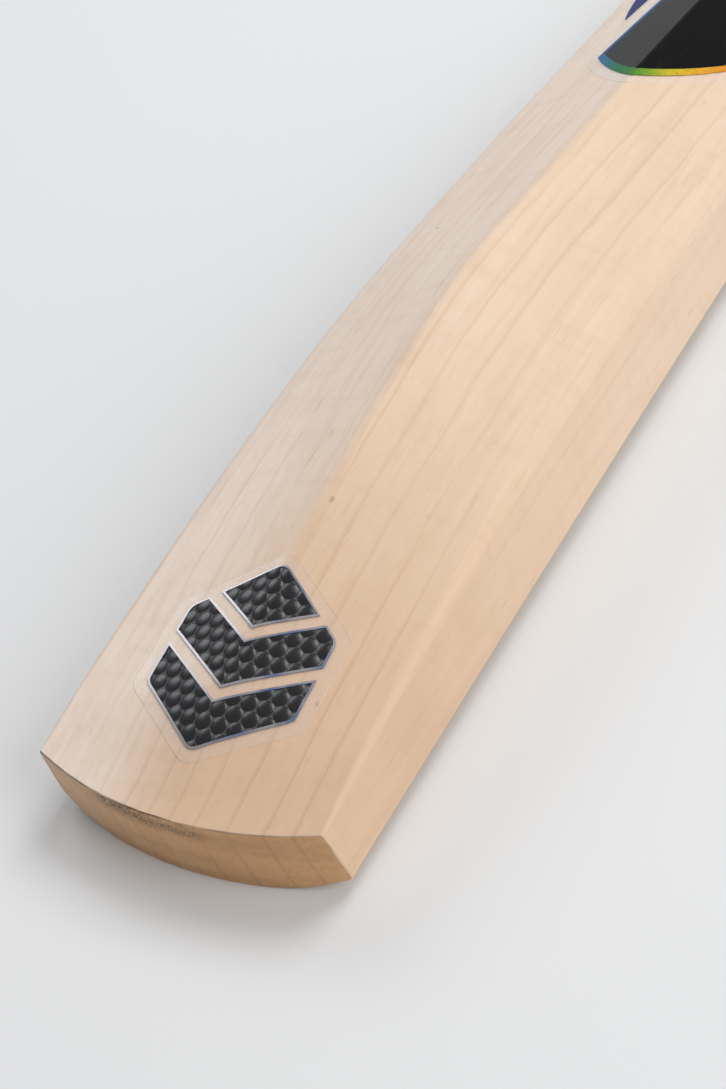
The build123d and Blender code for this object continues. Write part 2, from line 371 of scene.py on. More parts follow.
@dataclass(frozen=True)
class Finish(ABC):
    """How one material of the bat looks."""

    name: str

    @abstractmethod
    def paint(self, tree: ShaderTree) -> bpy.types.Material:
        """Builds the material's nodes."""

    def material(self) -> bpy.types.Material:
        """The material, made on first use."""
        label = f"finish_{self.name}"
        return bpy.data.materials.get(label) or self.paint(ShaderTree(label))


@dataclass(frozen=True)
class Willow(Finish):
    """Pale willow with lengthwise growth lines, and a darker sealed toe."""

    name: str = "willow"
    cream: Colour = (0.785, 0.605, 0.452)
    peach: Colour = (0.77, 0.57, 0.41)
    # painted sheen: a paler, cooler colour laid on the left facet in place of the far softbox's reflection
    painted_facet_sheen: Colour = (0.865, 0.735, 0.635)
    tan: Colour = (0.69, 0.475, 0.32)
    line: Colour = (0.50, 0.31, 0.175)
    fleck: Colour = (0.36, 0.215, 0.12)
    sealed: Colour = (0.64, 0.365, 0.17)
    sealed_dark: Colour = (0.30, 0.15, 0.06)
    stain: Colour = (0.045, 0.022, 0.022)

    # growth lines: one at the end of each year, after a slow shade across the year
    line_spacing: float = 9.6 * MM
    line_lean: float = 0.10  # how far the lines lean across, for each metre of height
    drift: Pattern = Pattern((5, 2.2, 5), 0, 3.1, share=7 * MM)
    wander: Pattern = Pattern((38, 26, 38), 2, 3.7, share=2.6 * MM)
    uneven: Pattern = Pattern((40, 0.4, 8), 0, 8.4, share=1.1)  # in years
    line_rise: Span = (0.80, 0.965)  # the shares of a year over which a line comes and goes
    line_fall: Span = (0.972, 1.0)
    year_shade: Span = (0.15, 0.97)
    line_strength: Pattern = Pattern((40, 5, 40), 1, 5.5, (0.3, 0.7), 0.6)
    line_faintest: float = 0.3

    # the back and sides
    broad: Pattern = Pattern((14, 3.0, 14), 2, 1.7, (0.3, 0.72), 0.55)
    streak: Pattern = Pattern((260, 3.5, 260), 2, 6.6, (0.42, 0.75), 0.13)
    figure: Pattern = Pattern((45, 190, 45), 1, 9.3, (0.5, 0.8), 0.08)
    clouds: Pattern = Pattern((75, 38, 75), 3, 16.0, (0.45, 0.7), 0.055)
    fibre: Pattern = Pattern((900, 14, 900), 2, 2.2, (0.35, 0.8), 0.10)
    dash: Pattern = Pattern((700, 110, 700), 0, 4.4, (0.76, 0.84), 0.14)
    year_share: float = 0.16
    warm_reach: Span = (10 * MM, 230 * MM)  # how far past the toe the warm tan fades out
    warm_share: float = 0.9
    painted_sheen_by_toe: Span = (-34 * MM, 6 * MM)  # the painted sheen on the left facet fades out over this much of X
    painted_sheen_beyond: Span = (-5 * MM, 2 * MM)
    painted_sheen_share: float = 0.92
    line_share: float = 0.2
    line_right: Span = (-6 * MM, 4 * MM)  # right of here the lines are stronger
    line_right_share: float = 0.08
    line_warm_share: float = 0.14
    knot_share: float = 0.5
    knot_stretch: float = 1.5
    knot_edge: Span = (0.25, 1.2)
    pin_knots: tuple[Triple, ...] = (  # X, Y and radius
        (0.0265, -0.388, 0.0006),
        (0.0302, -0.3805, 0.0007),
        (0.003, -0.3155, 0.0009),
        (-0.034, -0.172, 0.0007),
    )

    # the sealed toe
    toe_y: float = -428 * MM
    toe_top: float = 28.0 * MM
    toe_reach: Span = (20 * MM, 26 * MM)  # nothing further from the tip counts as the toe
    toe_turn: Span = (0.55, 0.9)  # how squarely a face looks along the bat to count as the toe
    toe_bands: Pattern = Pattern((16, 60, 110), 3, 11.0, (0.35, 0.75), 0.5)
    toe_columns: Pattern = Pattern((120, 60, 14), 2, 12.0, (0.4, 0.8), 0.14)
    toe_grain: Pattern = Pattern((700, 700, 500), 2, 13.0, (0.4, 0.8), 0.2)
    toe_pale: Span = (-46 * MM, -8 * MM)  # left of here the toe is paler
    toe_pale_share: float = 0.32
    toe_line_share: float = 0.28

    # the smudge and the dark line under the toe's upper edge
    smudge_drop: Span = (2 * MM, 9 * MM)
    smudge_sides: Triple = (-18 * MM, 8 * MM, 14 * MM)  # from X to X, and how softly it ends
    speckle: Pattern = Pattern((1500, 1500, 1500), 2, 14.0, (0.42, 0.6), 0.8)
    blot: Pattern = Pattern((70, 70, 160), 2, 15.0, (0.38, 0.62), 0.8)
    smudge_least: float = 0.2
    rim_turn: Triple = (0.45, 0.7, 0.14)
    rim_height: Span = (18 * MM, 22 * MM)
    rim_patches: Pattern = Pattern((90, 90, 90), 3, 17.0, (0.3, 0.65), 0.6)
    rim_least: float = 0.4
    rim_left: Span = (-5 * MM, 30 * MM)  # right of here the dark line is fainter
    rim_left_share: float = 0.4
    rim_share: float = 0.85

    # relief and gloss
    pores: Pattern = Pattern((1400, 40, 1400), 2, 20.0)
    pore_depth: float = 0.035 * MM
    line_depth: float = 0.012 * MM
    polish: Pattern = Pattern((300, 20, 300), 2, 21.0)
    roughness: Span = (0.14, 0.46)  # how much it varies, and its least

    def lines(self, tree: ShaderTree) -> tuple[Field, Field]:
        """The growth lines.

        Args:
            tree: the material's tree.

        Returns:
            How dark the line is at a point, and the slow shade across one year's growth.
        """
        x, _, z = tree.place()
        place = x + z * self.line_lean + tree.sway(self.drift) + tree.sway(self.wander)
        year = (place / self.line_spacing + tree.sway(self.uneven)).part()
        strength = tree.strewn(self.line_strength) + self.line_faintest
        sharp = year.step(*self.line_rise) * year.step(*self.line_fall).inverse()
        return sharp * strength, year.step(*self.year_shade)

    def past_toe(self, tree: ShaderTree, reach: Span) -> Field:
        """One at the toe, fading to zero over a stretch of distances from its tip."""
        _, y, _ = tree.place()
        return y.step(self.toe_y + reach[0], self.toe_y + reach[1]).inverse()

    def back_colour(self, tree: ShaderTree, line: Field, shade: Field) -> bpy.types.NodeSocket:
        """The wood's colour away from the toe, with a painted sheen that makes the left facet paler and
        cooler.

        Args:
            tree: the material's tree.
            line: how dark the growth line is.
            shade: the slow shade across one year's growth.

        Returns:
            The colour.
        """
        x, _, _ = tree.place()
        warm = self.past_toe(tree, self.warm_reach)
        colour = tree.blend(tree.strewn(self.broad) + shade * self.year_share, self.cream, self.peach)
        colour = tree.blend(warm * self.warm_share, colour, self.tan)
        # painted sheen: left of the spine the wood is made paler and cooler, over a wider, softer stretch
        # near the toe
        near = x.step(*self.painted_sheen_by_toe).inverse() * warm
        beyond = x.step(*self.painted_sheen_beyond).inverse() * warm.inverse()
        colour = tree.blend((near + beyond) * self.painted_sheen_share, colour, self.painted_facet_sheen)
        for pattern in (self.streak, self.figure, self.clouds, self.fibre):
            colour = tree.blend(tree.strewn(pattern), colour, self.line)
        right = x.step(*self.line_right) * self.line_right_share
        strength = right + self.line_share + warm * self.line_warm_share
        colour = tree.blend(line * strength, colour, self.line)
        return tree.blend(tree.strewn(self.dash), colour, self.fleck)

    def knots(self, tree: ShaderTree) -> Field:
        """Where the few small pin knots are, each a dot drawn out along the grain."""
        x, y, _ = tree.place()
        found = None
        for knot_x, knot_y, radius in self.pin_knots:
            across = (x - knot_x) / radius
            along = (y - knot_y) / (radius * self.knot_stretch)
            dot = (across * across + along * along).step(*self.knot_edge).inverse()
            found = dot if found is None else found + dot
        return found

    def toe_colour(self, tree: ShaderTree, line: Field) -> bpy.types.NodeSocket:
        """The sealed end grain of the toe."""
        x, _, _ = tree.place()
        colour = tree.blend(tree.strewn(self.toe_bands), self.sealed, self.sealed_dark)
        colour = tree.blend(tree.strewn(self.toe_columns), colour, self.cream)
        colour = tree.blend(tree.strewn(self.toe_grain), colour, self.sealed_dark)
        colour = tree.blend(x.step(*self.toe_pale).inverse() * self.toe_pale_share, colour, self.cream)
        return tree.blend(line * self.toe_line_share, colour, self.sealed_dark)

    def smudge(self, tree: ShaderTree, toe: Field) -> Field:
        """The speckled smudge under the middle of the toe's upper edge."""
        x, _, z = tree.place()
        below = (z * -1.0) + self.toe_top
        place = below.step(*self.smudge_drop).inverse() * x.band(*self.smudge_sides)
        blots = tree.strewn(self.blot) + self.smudge_least
        return toe * place * blots * (tree.strewn(self.speckle) + self.smudge_least)

    def rim(self, tree: ShaderTree, end: Field, near_toe: Field) -> Field:
        """The dark line along the toe's upper edge.

        Args:
            tree: the material's tree.
            end: how squarely the surface looks along the bat, away from the handle.
            near_toe: one by the toe's tip.

        Returns:
            How dark the line is.
        """
        x, _, z = tree.place()
        edge = end.band(*self.rim_turn) * near_toe * z.step(*self.rim_height)
        patches = tree.strewn(self.rim_patches) + self.rim_least
        left = x.step(*self.rim_left).inverse() * self.rim_left_share
        return edge * patches * (left + (1.0 - self.rim_left_share))

    def paint(self, tree: ShaderTree) -> bpy.types.Material:
        """Builds the material's nodes."""
        _, facing_y, _ = tree.facing()
        line, shade = self.lines(tree)
        end = facing_y * -1.0
        near_toe = self.past_toe(tree, self.toe_reach)
        toe = end.step(*self.toe_turn) * near_toe
        colour = self.back_colour(tree, line, shade)
        colour = tree.blend(self.knots(tree) * self.knot_share, colour, self.fleck)
        colour = tree.blend(toe, colour, self.toe_colour(tree, line))
        colour = tree.blend(self.smudge(tree, toe), colour, self.stain)
        colour = tree.blend(self.rim(tree, end, near_toe) * self.rim_share, colour, self.stain)
        tree.relief(tree.noise(self.pores), self.pore_depth)
        tree.relief(line, -self.line_depth)
        varies, least = self.roughness
        rough = tree.noise(self.polish) * varies + least
        return tree.finish({"Base Color": colour, "Roughness": rough, "IOR": 1.45})


@dataclass(frozen=True)
class Cane(Finish):
    """Split cane with fine dark fibres along it."""

    name: str = "cane"
    pale: Colour = (0.66, 0.47, 0.26)
    tan: Colour = (0.52, 0.33, 0.15)
    dark: Colour = (0.24, 0.13, 0.05)
    strip: Pattern = Pattern((180, 1.5, 180), 1, 1.0, (0.3, 0.7))
    fibre: Pattern = Pattern((2600, 30, 2600), 1, 2.0, (0.55, 0.75))
    fibre_share: float = 0.5
    fibre_depth: float = 0.05 * MM

    def paint(self, tree: ShaderTree) -> bpy.types.Material:
        """Builds the material's nodes."""
        fibre = tree.strewn(self.fibre)
        colour = tree.blend(tree.strewn(self.strip), self.pale, self.tan)
        colour = tree.blend(fibre * self.fibre_share, colour, self.dark)
        tree.relief(fibre, -self.fibre_depth)
        return tree.finish({"Base Color": colour, "Roughness": 0.45, "IOR": 1.5})


@dataclass(frozen=True)
class Rubber(Finish):
    """Matte rubber with a fine grain and dusty patches."""

    name: str = "grip_rubber"
    dark: Colour = (0.022, 0.022, 0.024)
    dusty: Colour = (0.065, 0.063, 0.06)
    roughness: float = 0.62
    roughness_spread: float = 0.2
    dust: Pattern = Pattern((90, 60, 90), 4, 1.3, (0.45, 0.8), 0.6)
    grain: Pattern = Pattern((2200, 2200, 2200), 1, 2.9)
    grain_depth: float = 0.05 * MM

    def paint(self, tree: ShaderTree) -> bpy.types.Material:
        """Builds the material's nodes."""
        grain = tree.noise(self.grain)
        colour = tree.blend(tree.strewn(self.dust), self.dark, self.dusty)
        tree.relief(grain, self.grain_depth)
        rough = grain * self.roughness_spread + (self.roughness - self.roughness_spread / 2)
        return tree.finish({"Base Color": colour, "Roughness": rough})


@dataclass(frozen=True)
class Twine(Finish):
    """Waxed linen twine."""

    name: str = "twine"
    pale: Colour = (0.62, 0.52, 0.36)
    dark: Colour = (0.36, 0.27, 0.16)
    lay: Pattern = Pattern((1800, 1800, 1800), 2, 1.1, (0.35, 0.7), 0.6)
    lay_depth: float = 0.12 * MM
    worn: Pattern = Pattern((60, 60, 60), 2, 2.1)
    worn_share: float = 0.3

    def paint(self, tree: ShaderTree) -> bpy.types.Material:
        """Builds the material's nodes."""
        worn = tree.noise(self.worn) * self.worn_share
        colour = tree.blend(tree.strewn(self.lay) + worn, self.pale, self.dark)
        tree.relief(tree.noise(self.lay), self.lay_depth)
        return tree.finish({"Base Color": colour, "Roughness": 0.7, "Sheen Weight": 0.2})


@dataclass(frozen=True)
class ClearFilm(Finish):
    """Clear glossy film: a thin pale veil, more opaque at a slant, painted in place of its reflection, and a
    cut edge painted pale as a highlight.
    """

    name: str = "clear_film"
    # painted reflection: this pale colour shows through the alpha as the film's sheen
    sheen: Colour = (0.97, 0.95, 0.93)
    cover: float = 0.10
    edge_highlight_cover: float = 0.55
    edge_turn: Span = (0.4, 0.8)  # faces less level than this are the film's cut edge
    mirror: float = 0.8
    slant_power: float = 5.0
    ripple: Pattern = Pattern((60, 40, 60), 0, 3.0)
    ripple_depth: float = 0.02 * MM

    def paint(self, tree: ShaderTree) -> bpy.types.Material:
        """Builds the material's nodes."""
        tree.relief(tree.noise(self.ripple), self.ripple_depth)
        slant = tree.field(tree.node("ShaderNodeLayerWeight", {"Blend": 0.5}).outputs["Facing"])
        _, _, up = tree.facing()
        edge = up.size().step(*self.edge_turn).inverse()
        face_cover = slant.power(self.slant_power) * self.mirror + self.cover
        # painted highlight: the cut edge is made more opaque and pale
        cover = face_cover * edge.inverse() + edge * self.edge_highlight_cover
        return tree.finish({"Base Color": self.sheen, "Metallic": 0.1, "Roughness": 0.07, "Alpha": cover})


@dataclass(frozen=True)
class BlackFilm(Finish):
    """Black film, glossy or satin, with fine scuffs."""

    name: str = "black_film"
    ink: Colour = (0.011, 0.011, 0.013)
    worn: Colour = (0.04, 0.04, 0.044)
    roughness: float = 0.22
    shine: float = 0.5
    scuff: Pattern = Pattern((400, 60, 400), 4, 7.0, (0.55, 0.85))
    scuff_share: float = 0.5
    scuff_roughness: float = 0.12
    grain: Pattern = Pattern((900, 900, 900), 2, 8.0)
    grain_depth: float = 0.012 * MM

    def paint(self, tree: ShaderTree) -> bpy.types.Material:
        """Builds the material's nodes."""
        scuff = tree.strewn(self.scuff)
        colour = tree.blend(scuff * self.scuff_share, self.ink, self.worn)
        tree.relief(tree.noise(self.grain), self.grain_depth)
        rough = scuff * self.scuff_roughness + self.roughness
        gloss = {"Roughness": rough, "IOR": 1.5, "Specular IOR Level": self.shine}
        return tree.finish({"Base Color": colour, **gloss})


@dataclass(frozen=True)
class EmbossedFilm(BlackFilm):
    """Black film with a honeycomb pressed into it, whose grooves are painted grey as a highlight."""

    name: str = "embossed_film"
    roughness: float = 0.27
    scuff_share: float = 0.25
    cell_width: float = 5.5 * MM
    cell_length: float = 6.3 * MM
    # painted highlight: the grooves' grey stands in for the light they catch
    groove: Colour = (0.055, 0.055, 0.06)
    groove_edge: Span = (0.205, 0.245)
    groove_highlight_share: float = 0.8
    groove_roughness: float = 0.2
    press: float = 0.2 * MM

    def paint(self, tree: ShaderTree) -> bpy.types.Material:
        """Builds the material's nodes."""
        x, y, _ = tree.place()
        apart = honeycomb(x, y, self.cell_width, self.cell_length)
        edge = apart.step(*self.groove_edge)
        colour = tree.blend(tree.strewn(self.scuff) * self.scuff_share, self.ink, self.worn)
        # painted highlight along the grooves
        colour = tree.blend(edge * self.groove_highlight_share, colour, self.groove)
        tree.relief(apart * (-1.0 / CELL_EDGE), self.press)
        rough = edge * self.groove_roughness + self.roughness
        return tree.finish({"Base Color": colour, "Roughness": rough, "IOR": 1.52})


@dataclass(frozen=True)
class RimFoil(Finish):
    """Silver foil that turns blue in patches towards the bat's right side."""

    name: str = "rim_foil"
    silver: Colour = (0.46, 0.44, 0.46)
    blue: Colour = (0.10, 0.20, 0.46)
    turn: Span = (-8 * MM, 16 * MM)  # where the blue comes in
    patches: Pattern = Pattern((120, 90, 120), 1, 1.0, (0.35, 0.65))
    blue_share: float = 0.8

    def paint(self, tree: ShaderTree) -> bpy.types.Material:
        """Builds the material's nodes."""
        x, _, _ = tree.place()
        share = x.step(*self.turn) * tree.strewn(self.patches)
        colour = tree.blend(share * self.blue_share, self.silver, self.blue)
        return tree.finish({"Base Color": colour, "Metallic": 0.8, "Roughness": 0.34})


class Stops(Enum):
    """Colours across a foil, from its left end to its right end."""

    HEM = (
        (0.0, (0.01, 0.13, 0.45)),
        (0.14, (0.005, 0.17, 0.30)),
        (0.28, (0.0, 0.18, 0.08)),
        (0.44, (0.0, 0.23, 0.02)),
        (0.56, (0.16, 0.34, 0.01)),
        (0.68, (0.62, 0.50, 0.01)),
        (0.86, (0.80, 0.36, 0.01)),
        (1.0, (0.75, 0.18, 0.01)),
    )
    BLUE = (
        (0.0, (0.010, 0.025, 0.20)),
        (0.14, (0.010, 0.035, 0.22)),
        (0.2, (0.008, 0.17, 0.45)),
        (0.8, (0.008, 0.17, 0.45)),
        (0.86, (0.010, 0.035, 0.22)),
        (1.0, (0.010, 0.025, 0.20)),
    )


@dataclass(frozen=True)
class GlitterFoil(Finish):
    """Metallic foil with a colour run across it and fine glitter."""

    name: str = "foil"
    stops: Stops = Stops.HEM
    half_width: float = 30 * MM
    grain: Pattern = Pattern((3200, 3200, 3200), 0, 5.0, share=0.10)  # how far it shifts the colour run
    grain_depth: float = 0.06 * MM
    grain_roughness: float = 0.3
    least_roughness: float = 0.3
    glint: Colour = (0.75, 0.8, 0.6)
    spark: Pattern = Pattern((2600, 2600, 2600), 0, 6.0, (0.6, 0.72), 0.16)
    dark: Colour = (0.0, 0.0, 0.0)
    pit: Pattern = Pattern((2400, 2400, 2400), 0, 7.0, (0.55, 0.7), 0.5)

    def paint(self, tree: ShaderTree) -> bpy.types.Material:
        """Builds the material's nodes."""
        x, _, _ = tree.place()
        across = (x + self.half_width) / (2 * self.half_width)
        colour = tree.ramp(across + tree.sway(self.grain), self.stops.value)
        colour = tree.blend(tree.strewn(self.spark), colour, self.glint)
        colour = tree.blend(tree.strewn(self.pit), colour, self.dark)
        grain = tree.noise(self.grain)
        tree.relief(grain, self.grain_depth)
        rough = grain * self.grain_roughness + self.least_roughness
        gloss = {"Metallic": 0.3, "Roughness": rough, "Specular IOR Level": 0.2}
        return tree.finish({"Base Color": colour, **gloss})


@dataclass(frozen=True)
class StudioPaper(Finish):
    """The plain floor's finish."""

    name: str = "studio_paper"
    grey: Colour = (0.788, 0.80, 0.812)

    def paint(self, tree: ShaderTree) -> bpy.types.Material:
        """Builds the material's nodes."""
        return tree.finish({"Base Color": self.grey, "Roughness": 0.9, "Specular IOR Level": 0.1})


# ---- helpers for pieces ----

TUBE_SIDES = 8  # the flats round a swept ridge or strand of twine

# edges sharper than this many degrees stay sharp
TUBE_ANGLE = 60.0
SLEEVE_ANGLE = 40.0
EMBOSS_ANGLE = 50.0
RING_ANGLE = 35.0


def dress(nodes: Iterable[str], finish: Finish) -> None:
    """Gives CAD nodes a finish.

    Args:
        nodes: the nodes' names.
        finish: what they are made of.
    """
    for name in nodes:
        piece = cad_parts[name]
        for slot in piece.material_slots:
            slot.material = finish.material()
        log.info("%s wears %s", name, finish.name)


def settle(piece: bpy.types.Object, replaced: Sequence[str] = ()) -> None:
    """Puts a finished piece on the bat.

    Args:
        piece: the piece, already in place.
        replaced: CAD nodes that it stands for.
    """
    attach(piece, ROOT)
    if replaced:
        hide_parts(*replaced)
    log.info("%s has %d faces", piece.name, len(piece.data.polygons))


def smooth(mesh: bpy.types.Mesh, angle: float) -> None:
    """Shades a mesh smooth, apart from edges sharper than angle in degrees."""
    mesh.shade_smooth()
    mesh.set_sharp_from_angle(angle=math.radians(angle))


def turned(
    name: str, profile: Sequence[Span], height: float, around: int, finish: Finish, angle: float
) -> bpy.types.Object:
    """A closed ring turned about the handle's axis.

    Args:
        name: the object's name.
        profile: radius and Y of each corner, once round the ring's section.
        height: Z of the axis.
        around: how many flats a turn has.
        finish: what it is made of.
        angle: edges sharper than this many degrees stay sharp.

    Returns:
        The ring as an object.
    """
    made = bmesh.new()
    rings = []
    for k in range(around):
        turn = 2 * math.pi * k / around
        spots = [(r * math.cos(turn), y, height + r * math.sin(turn)) for r, y in profile]
        rings.append([made.verts.new(spot) for spot in spots])
    count = len(profile)
    for k, ring in enumerate(rings):
        other = rings[(k + 1) % around]
        for j in range(count):
            following = (j + 1) % count
            made.faces.new((ring[j], ring[following], other[following], other[j]))
    bmesh.ops.recalc_face_normals(made, faces=made.faces)
    mesh = bpy.data.meshes.new(name)
    made.to_mesh(mesh)
    made.free()
    mesh.materials.append(finish.material())
    smooth(mesh, angle)
    return put(name, mesh)


# ---- the bat's sub-assemblies ----


@dataclass
class Blade:
    """The willow blade and the handle's cane and springs."""

    willow: Finish = Willow()
    cane: Finish = Cane()
    spring: Finish = Rubber("spring_rubber", (0.10, 0.05, 0.03), (0.16, 0.10, 0.07), 0.6)

    def build(self) -> None:
        """Dresses the wood and the springs."""
        names = sorted(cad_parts)
        dress(["blade"], self.willow)
        dress([n for n in names if n.startswith("cane_")], self.cane)
        dress([n for n in names if n.startswith("rubber_spring_")], self.spring)


@dataclass
class Binding:
    """The twine wound round the handle."""

    twine_radius: float = 0.4 * MM
    squeeze: float = 1.06  # makes each turn a little wider than its room, so that neighbours press together
    root_radius: float = 17.3 * MM
    shaft_radius: float = 15.6 * MM
    root_length: float = 12 * MM
    root_start_gap: float = 1.5 * MM
    shown_length: float = 19 * MM
    around: int = 96
    finish: Finish = Twine()

    def winding(self, start: float, height: float) -> bpy.types.Object:
        """The turns that show between the shoulder and the grip.

        Args:
            start: Y of the first turn.
            height: Z of the handle's axis.

        Returns:
            The winding as one object.
        """
        turns = int(self.shown_length / (2 * self.twine_radius))
        sizes = {
            "Turns": turns,
            "Pitch": 2 * self.twine_radius,
            "Twine Radius": self.twine_radius * self.squeeze,
            "Root Radius": self.root_radius + self.twine_radius,
            "Start": start,
            "Axis Height": height,
            "Shaft Radius": self.shaft_radius + self.twine_radius,
            "Root Length": self.root_length,
        }
        tree = ShapeTree("twine_winding", sizes, self.finish.material())
        length = tree.size("Turns") * tree.size("Pitch")
        unit = {"Resolution": self.around, "Start Radius": 1.0, "End Radius": 1.0}
        spiral = tree.node(
            "GeometryNodeCurveSpiral", {**unit, "Rotations": tree.size("Turns"), "Height": length}
        )
        x, y, z = tree.position()
        share = ((z + self.root_start_gap) / tree.size("Root Length")).least(1.0)
        root = tree.size("Root Radius")
        radius = root + (tree.size("Shaft Radius") - root) * share
        spot = tree.vector(x * radius, z + tree.size("Start"), tree.size("Axis Height") - y * radius)
        placed = tree.node("GeometryNodeSetPosition", {"Geometry": spiral.outputs[0], "Position": spot})
        section = {"Resolution": TUBE_SIDES, "Radius": tree.size("Twine Radius")}
        ring = tree.node("GeometryNodeCurvePrimitiveCircle", section)
        sweep = {"Curve": placed.outputs[0], "Profile Curve": ring.outputs[0], "Fill Caps": True}
        tree.close(tree.node("GeometryNodeCurveToMesh", sweep).outputs[0])
        return tree.bake("twine_winding", bpy.data.meshes.new("twine_start"))

    def build(self) -> None:
        """Makes the winding that shows, and the sleeve of twine under the grip."""
        low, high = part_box("twine_binding")
        height = (low.z + high.z) / 2
        winding = self.winding(low.y + self.twine_radius, height)
        smooth(winding.data, TUBE_ANGLE)
        settle(winding, ["twine_binding"])
        outer, inner = self.shaft_radius + 2 * self.twine_radius, self.shaft_radius
        start = low.y + self.shown_length
        profile = [(outer, start), (outer, high.y), (inner, high.y), (inner, start)]
        settle(turned("twine_sleeve", profile, height, self.around, self.finish, RING_ANGLE))


@dataclass
class Grip:
    """The rubber grip: a sleeve with a collar, and chevron ridges round it."""

    inner_radius: float = 16.4 * MM
    collar_rise: float = 0.8 * MM
    collar_length: float = 6.0 * MM
    ridge_height: float = 0.7 * MM
    ridge_width: float = 1.5 * MM
    ridge_pitch: float = 5.2 * MM
    chevrons: int = 8
    chevron_depth: float = 5.0 * MM
    smooth_end: float = 12.0 * MM
    lip: float = 0.5 * MM
    lip_share: float = 0.3  # how far in from a square corner the middle of its rounding is, as a share of lip
    around: int = 128
    finish: Finish = Rubber()

    def ridges(self, start: float, end: float, radius: float, height: float) -> bpy.types.Object:
        """The raised zigzag rings.

        Args:
            start: Y of the first ring.
            end: Y that the last ring stays below.
            radius: radius of the sleeve that they stand on.
            height: Z of the handle's axis.

        Returns:
            The ridges as one object.
        """
        sizes = {
            "Rings": int((end - start - self.chevron_depth) / self.ridge_pitch) + 1,
            "Pitch": self.ridge_pitch,
            "Radius": radius,
            "Start": start,
            "Axis Height": height,
            "Chevrons": self.chevrons,
            "Chevron Depth": self.chevron_depth,
            "Ridge Width": self.ridge_width,
            "Ridge Height": self.ridge_height,
        }
        tree = ShapeTree("grip_ridges", sizes, self.finish.material())
        ring = {"Resolution": self.around, "Radius": tree.size("Radius")}
        circle = tree.node("GeometryNodeCurvePrimitiveCircle", ring)
        index = tree.field(tree.node("GeometryNodeInputIndex").outputs[0])
        phase = (index / float(self.around) * tree.size("Chevrons")).part()
        zigzag = ((phase - 0.5).size() * 2.0) * tree.size("Chevron Depth")
        x, y, _ = tree.position()
        bend = {"Geometry": circle.outputs[0], "Position": tree.vector(x, zigzag, y)}
        bent = tree.node("GeometryNodeSetPosition", bend)
        profile = tree.node("GeometryNodeCurvePrimitiveCircle", {"Resolution": TUBE_SIDES, "Radius": 1.0})
        scale = tree.vector(tree.size("Ridge Height"), tree.size("Ridge Width") * 0.5, 1.0)
        flat = tree.node("GeometryNodeTransform", {"Geometry": profile.outputs[0], "Scale": scale})
        sweep = {"Curve": bent.outputs[0], "Profile Curve": flat.outputs[0]}
        tube = tree.node("GeometryNodeCurveToMesh", sweep)
        row = {
            "Count": tree.size("Rings"),
            "Start Location": tree.vector(0.0, tree.size("Start"), tree.size("Axis Height")),
            "Offset": tree.vector(0.0, tree.size("Pitch"), 0.0),
        }
        places = {"Points": tree.node("GeometryNodeMeshLine", row).outputs[0], "Instance": tube.outputs[0]}
        tree.close(tree.node("GeometryNodeInstanceOnPoints", places).outputs[0])
        return tree.bake("grip_ridges", bpy.data.meshes.new("ridge_start"))

    def sleeve(self, low: Vector, high: Vector, height: float) -> bpy.types.Object:
        """The sleeve with its collar and rounded lips.

        Args:
            low: the grip's lowest corner.
            high: its highest corner.
            height: Z of the handle's axis.

        Returns:
            The sleeve.
        """
        inner, lip, round_off = self.inner_radius, self.lip, self.lip * self.lip_share
        collar = (high.x - low.x) / 2
        body = collar - self.collar_rise
        base = body - self.ridge_height
        band = low.y + self.collar_length
        tail = high.y - self.smooth_end
        profile = [
            (inner, low.y),
            (collar - lip, low.y),
            (collar - round_off, low.y + round_off),
            (collar, low.y + lip),
            (collar, band - lip),
            (collar - round_off, band - round_off),
            (collar - lip, band),
            (base + lip, band),
            (base, band + lip),
            (base, tail - lip),
            (base + lip, tail),
            (body, tail + lip),
            (body, high.y - lip),
            (body - round_off, high.y - round_off),
            (body - lip, high.y),
            (inner, high.y),
        ]
        return turned("grip_sleeve", profile, height, self.around, self.finish, SLEEVE_ANGLE)

    def build(self) -> None:
        """Makes the sleeve and its ridges."""
        low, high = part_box("grip")
        height = (low.z + high.z) / 2
        settle(self.sleeve(low, high, height), ["grip"])
        base = (high.x - low.x) / 2 - self.collar_rise - self.ridge_height
        start = low.y + self.collar_length + self.ridge_width
        ridges = self.ridges(start, high.y - self.smooth_end - self.ridge_width, base, height)
        smooth(ridges.data, TUBE_ANGLE)
        settle(ridges)


